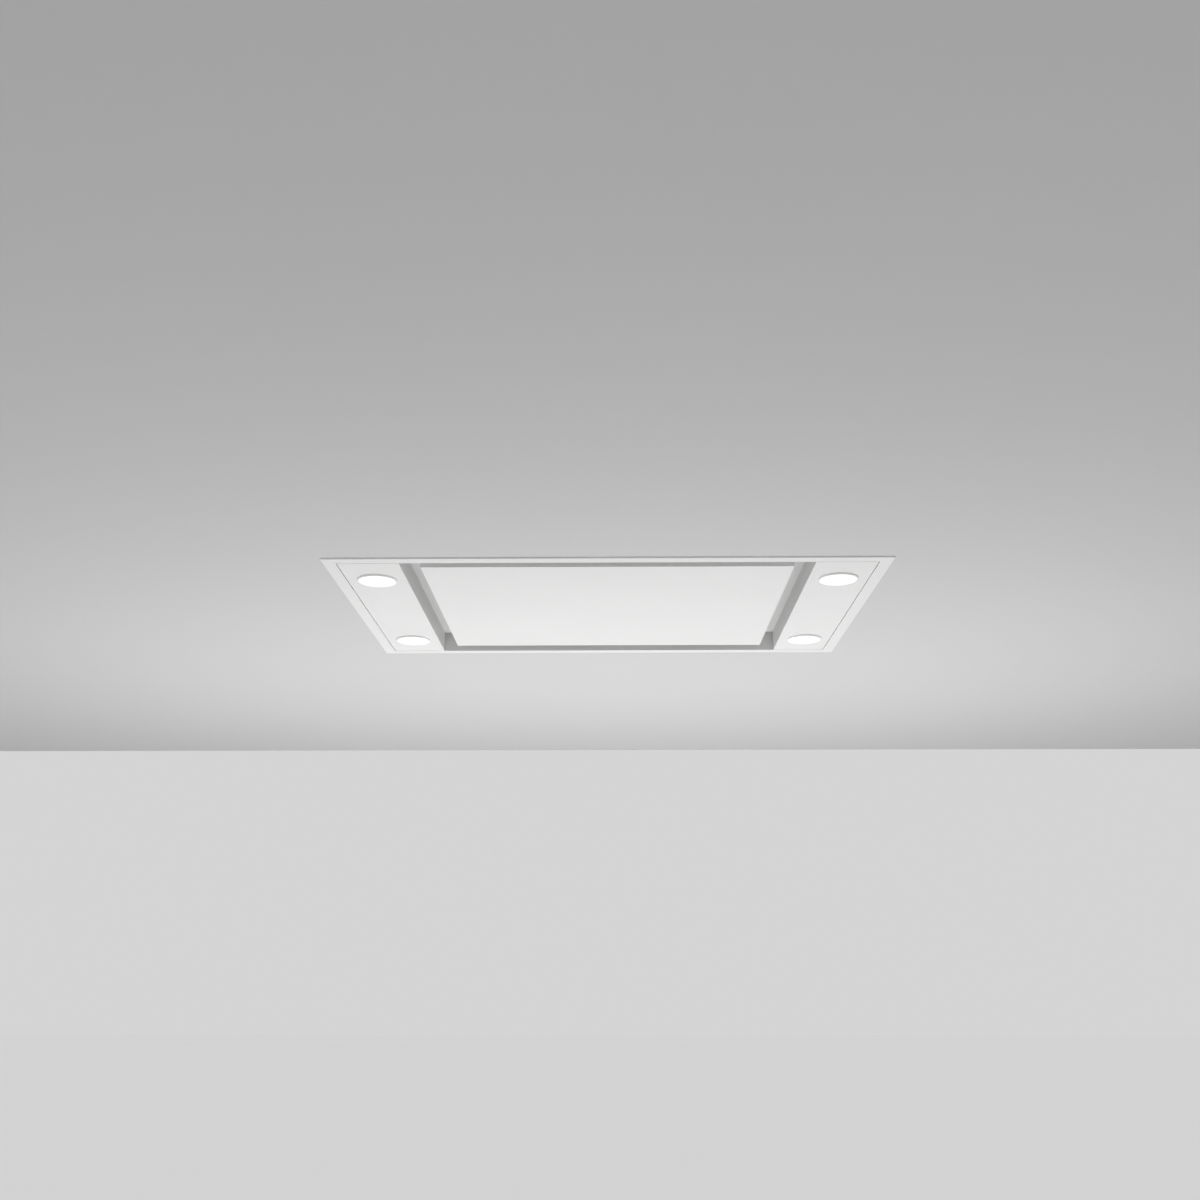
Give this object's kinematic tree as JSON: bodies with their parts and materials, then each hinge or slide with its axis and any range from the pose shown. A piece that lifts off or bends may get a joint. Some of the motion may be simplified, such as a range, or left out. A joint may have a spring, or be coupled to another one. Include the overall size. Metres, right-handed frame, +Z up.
{
  "type": "ceiling range hood",
  "caption": "Ceiling range hood: white flush rim, perimeter suction recess round a hinged centre panel, round lamps at both ends, blower and duct spigot in the casing above.",
  "frame": {"origin": "centre of the hood in the ceiling's lower plane", "axes": "+Z up into the ceiling void, +X along the rim's long side to the right seen from the near side, +Y away from the near side towards the duct spigot"},
  "size_m": [0.9, 0.6444, 0.2937],
  "materials": {
    "white_paint": "white powder coat, fine satin",
    "white_trim": "white satin lamp ring",
    "lit_lens": "opal diffuser, lit",
    "galvanised_steel": "galvanised, faint spangle",
    "zinc_steel": "zinc plated",
    "aluminium": "mill finish",
    "cast_metal": "grey painted motor housing",
    "black_plastic": "moulded, fine grain",
    "grey_plastic": "moulded",
    "white_plastic": "moulded",
    "rubber": "matt",
    "circuit_board": "solder mask",
    "copper_winding": "lacquered copper"
  },
  "bodies": {
    "hood": {"rim_frame": "white_paint", "lamp_panel_left": "white_paint", "lamp_panel_right": "white_paint", "filter_carrier": "white_paint", "lamp_bezel_near_left": "white_trim", "lamp_bezel_near_right": "white_trim", "lamp_bezel_far_left": "white_trim", "lamp_bezel_far_right": "white_trim", "lamp_lenses": "lit_lens", "casing_near_wall": "galvanised_steel", "casing_far_wall": "galvanised_steel", "casing_left_wall": "galvanised_steel", "casing_right_wall": "galvanised_steel", "casing_top": "galvanised_steel", "blower_scroll": "galvanised_steel", "blower_base": "galvanised_steel", "blower_lid": "galvanised_steel", "outlet_transition": "galvanised_steel", "hanger_brackets": "zinc_steel", "panel_hinge_brackets": "zinc_steel", "panel_hinge_pins": "zinc_steel", "screws": "zinc_steel", "motor_bearings": "zinc_steel", "flap_pin": "zinc_steel", "lamp_springs": "zinc_steel", "lamp_panel_clips": "zinc_steel", "filter_frame_left": "aluminium", "filter_frame_right": "aluminium", "filter_mesh_left": "aluminium", "filter_mesh_right": "aluminium", "lamp_heat_sinks": "aluminium", "motor_capacitor": "aluminium", "motor_case": "cast_metal", "motor_cap": "cast_metal", "master_switch": "black_plastic", "mains_gland": "black_plastic", "duct_collar": "black_plastic", "lamp_junctions": "black_plastic", "panel_catches": "black_plastic", "internal_leads": "black_plastic", "control_box": "grey_plastic", "control_box_lid": "grey_plastic", "led_driver": "grey_plastic", "blower_buffers": "rubber", "control_board": "circuit_board", "lamp_led_boards": "circuit_board", "motor_stator": "copper_winding"},
    "panel": {"centre_panel": "white_paint", "panel_rails": "galvanised_steel", "panel_hinge_leaves": "zinc_steel"},
    "wheel": {"impeller_ring": "galvanised_steel", "impeller_blades": "galvanised_steel", "impeller_back": "galvanised_steel", "motor_rotor": "zinc_steel"},
    "left_flap": {"flap_left": "black_plastic"},
    "right_flap": {"flap_right": "black_plastic"},
    "left_latch": {"filter_latch_left": "black_plastic"},
    "right_latch": {"filter_latch_right": "black_plastic"},
    "switch_button": {"master_switch_button": "white_plastic"}
  },
  "joints": [
    {"name": "panel_hinge", "type": "hinge", "parent": "hood", "child": "panel", "pos_m": [0, 0.242, 0.0205], "axis": [1, 0, 0], "range_deg": [0, 90]},
    {"name": "wheel_spin", "type": "hinge", "parent": "hood", "child": "wheel", "pos_m": [-0.10893, -0.045, 0.16], "axis": [0, 0, 1], "continuous": true},
    {"name": "left_flap_hinge", "type": "hinge", "parent": "hood", "child": "left_flap", "pos_m": [0, 0.2704, 0.1594], "axis": [0, 0, -1], "range_deg": [0, 80], "stiffness_Nm_per_rad": 0.02},
    {"name": "right_flap_hinge", "type": "hinge", "parent": "hood", "child": "right_flap", "pos_m": [0, 0.2704, 0.1594], "axis": [0, 0, 1], "range_deg": [0, 80], "stiffness_Nm_per_rad": 0.02},
    {"name": "left_latch_slide", "type": "slide", "parent": "hood", "child": "left_latch", "axis": [0, 1, 0], "range_m": [0, 0.007], "stiffness_N_per_m": 300},
    {"name": "right_latch_slide", "type": "slide", "parent": "hood", "child": "right_latch", "axis": [0, 1, 0], "range_m": [0, 0.007], "stiffness_N_per_m": 300},
    {"name": "switch_press", "type": "slide", "parent": "hood", "child": "switch_button", "axis": [0, 0, 1], "range_m": [0, 0.002], "stiffness_N_per_m": 1000}
  ]
}
